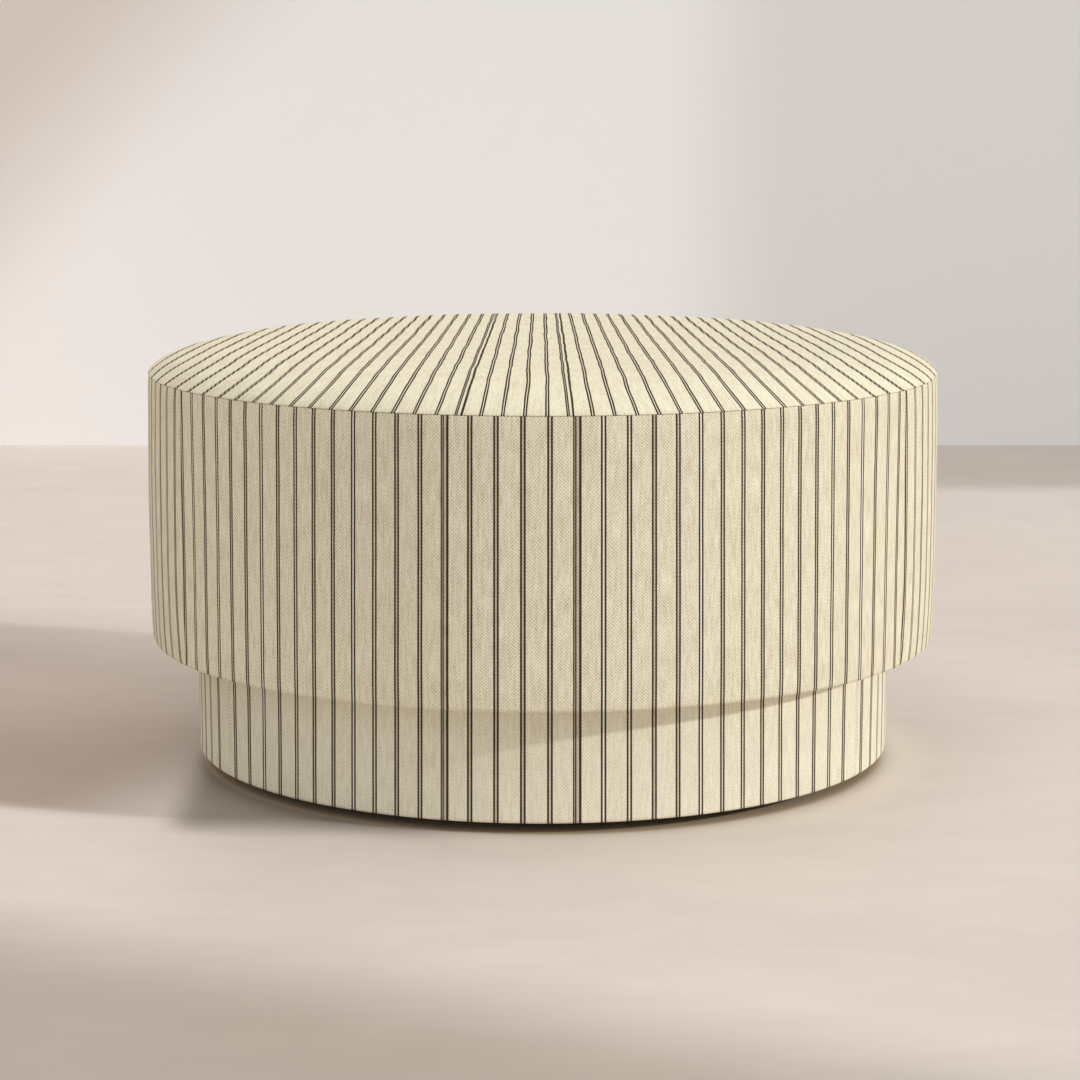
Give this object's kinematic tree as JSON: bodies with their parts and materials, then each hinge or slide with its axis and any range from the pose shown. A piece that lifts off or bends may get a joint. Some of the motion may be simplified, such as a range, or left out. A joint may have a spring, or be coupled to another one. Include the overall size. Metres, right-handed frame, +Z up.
{
  "type": "ottoman",
  "caption": "Round upholstered ottoman: a striped cloth drum with a crowned, padded top over a recessed plinth, on screw-in levelling feet.",
  "frame": {"origin": "centre of the footprint on the floor, under the drum's axis", "axes": "+Z up along the axis of the drum; -Y is the front, the middle of the front side panel"},
  "size_m": [0.8998, 0.8999, 0.476],
  "materials": {
    "cover_cloth": "striped ticking weave",
    "wadding": "fibre wadding",
    "foam": "open-cell foam",
    "ply": "birch plywood",
    "beech": "planed beech",
    "jute": "woven jute webbing",
    "hessian": "plain hessian",
    "cambric": "black non-woven cloth",
    "zinc_steel": "zinc-plated steel",
    "nylon": "moulded nylon"
  },
  "bodies": {
    "frame": {"plinth_base_ring": "ply", "plinth_top_board": "ply", "plinth_wall": "ply", "plinth_padding": "wadding", "plinth_post_1": "beech", "plinth_post_2": "beech", "plinth_post_3": "beech", "plinth_post_4": "beech", "plinth_post_5": "beech", "plinth_post_6": "beech", "plinth_cover_front": "cover_cloth", "plinth_cover_right": "cover_cloth", "plinth_cover_left": "cover_cloth", "plinth_screws": "zinc_steel", "dust_cover": "cambric", "dust_cover_staples": "zinc_steel", "drum_base_board": "ply", "drum_top_ring": "ply", "drum_wall": "ply", "side_padding": "wadding", "drum_post_1": "beech", "drum_post_2": "beech", "drum_post_3": "beech", "drum_post_4": "beech", "drum_post_5": "beech", "drum_post_6": "beech", "drum_post_7": "beech", "drum_post_8": "beech", "drum_screws": "zinc_steel", "joining_bolts": "zinc_steel", "joining_washers": "zinc_steel", "joining_tee_nuts": "zinc_steel", "webbing_lengthwise": "jute", "webbing_crosswise": "jute", "deck_cloth": "hessian", "seat_foam": "foam", "crown_wadding": "wadding", "side_cover_front": "cover_cloth", "side_cover_right": "cover_cloth", "side_cover_left": "cover_cloth", "top_cover": "cover_cloth", "foot_tee_nuts": "zinc_steel"},
    "pad_1": {"foot_pad_1": "nylon"},
    "stem_1": {"foot_stem_1": "zinc_steel"},
    "pad_2": {"foot_pad_2": "nylon"},
    "stem_2": {"foot_stem_2": "zinc_steel"},
    "pad_3": {"foot_pad_3": "nylon"},
    "stem_3": {"foot_stem_3": "zinc_steel"},
    "pad_4": {"foot_pad_4": "nylon"},
    "stem_4": {"foot_stem_4": "zinc_steel"},
    "pad_5": {"foot_pad_5": "nylon"},
    "stem_5": {"foot_stem_5": "zinc_steel"},
    "pad_6": {"foot_pad_6": "nylon"},
    "stem_6": {"foot_stem_6": "zinc_steel"}
  },
  "joints": [
    {"name": "foot_1_height", "type": "slide", "parent": "frame", "child": "pad_1", "axis": [0, 0, -1], "range_m": [0, 0.01]},
    {"name": "foot_1_screw", "type": "hinge", "parent": "pad_1", "child": "stem_1", "pos_m": [0, -0.328, 0], "axis": [0, 0, -1], "range_deg": [0, 2880]},
    {"name": "foot_2_height", "type": "slide", "parent": "frame", "child": "pad_2", "axis": [0, 0, -1], "range_m": [0, 0.01]},
    {"name": "foot_2_screw", "type": "hinge", "parent": "pad_2", "child": "stem_2", "pos_m": [0.28406, -0.164, 0], "axis": [0, 0, -1], "range_deg": [0, 2880]},
    {"name": "foot_3_height", "type": "slide", "parent": "frame", "child": "pad_3", "axis": [0, 0, -1], "range_m": [0, 0.01]},
    {"name": "foot_3_screw", "type": "hinge", "parent": "pad_3", "child": "stem_3", "pos_m": [0.28406, 0.164, 0], "axis": [0, 0, -1], "range_deg": [0, 2880]},
    {"name": "foot_4_height", "type": "slide", "parent": "frame", "child": "pad_4", "axis": [0, 0, -1], "range_m": [0, 0.01]},
    {"name": "foot_4_screw", "type": "hinge", "parent": "pad_4", "child": "stem_4", "pos_m": [0, 0.328, 0], "axis": [0, 0, -1], "range_deg": [0, 2880]},
    {"name": "foot_5_height", "type": "slide", "parent": "frame", "child": "pad_5", "axis": [0, 0, -1], "range_m": [0, 0.01]},
    {"name": "foot_5_screw", "type": "hinge", "parent": "pad_5", "child": "stem_5", "pos_m": [-0.28406, 0.164, 0], "axis": [0, 0, -1], "range_deg": [0, 2880]},
    {"name": "foot_6_height", "type": "slide", "parent": "frame", "child": "pad_6", "axis": [0, 0, -1], "range_m": [0, 0.01]},
    {"name": "foot_6_screw", "type": "hinge", "parent": "pad_6", "child": "stem_6", "pos_m": [-0.28406, -0.164, 0], "axis": [0, 0, -1], "range_deg": [0, 2880]}
  ],
  "couplings": [
    {"joint": "foot_1_screw", "follows": "foot_1_height", "rad_per_m": 5026.5},
    {"joint": "foot_2_screw", "follows": "foot_2_height", "rad_per_m": 5026.5},
    {"joint": "foot_3_screw", "follows": "foot_3_height", "rad_per_m": 5026.5},
    {"joint": "foot_4_screw", "follows": "foot_4_height", "rad_per_m": 5026.5},
    {"joint": "foot_5_screw", "follows": "foot_5_height", "rad_per_m": 5026.5},
    {"joint": "foot_6_screw", "follows": "foot_6_height", "rad_per_m": 5026.5}
  ]
}
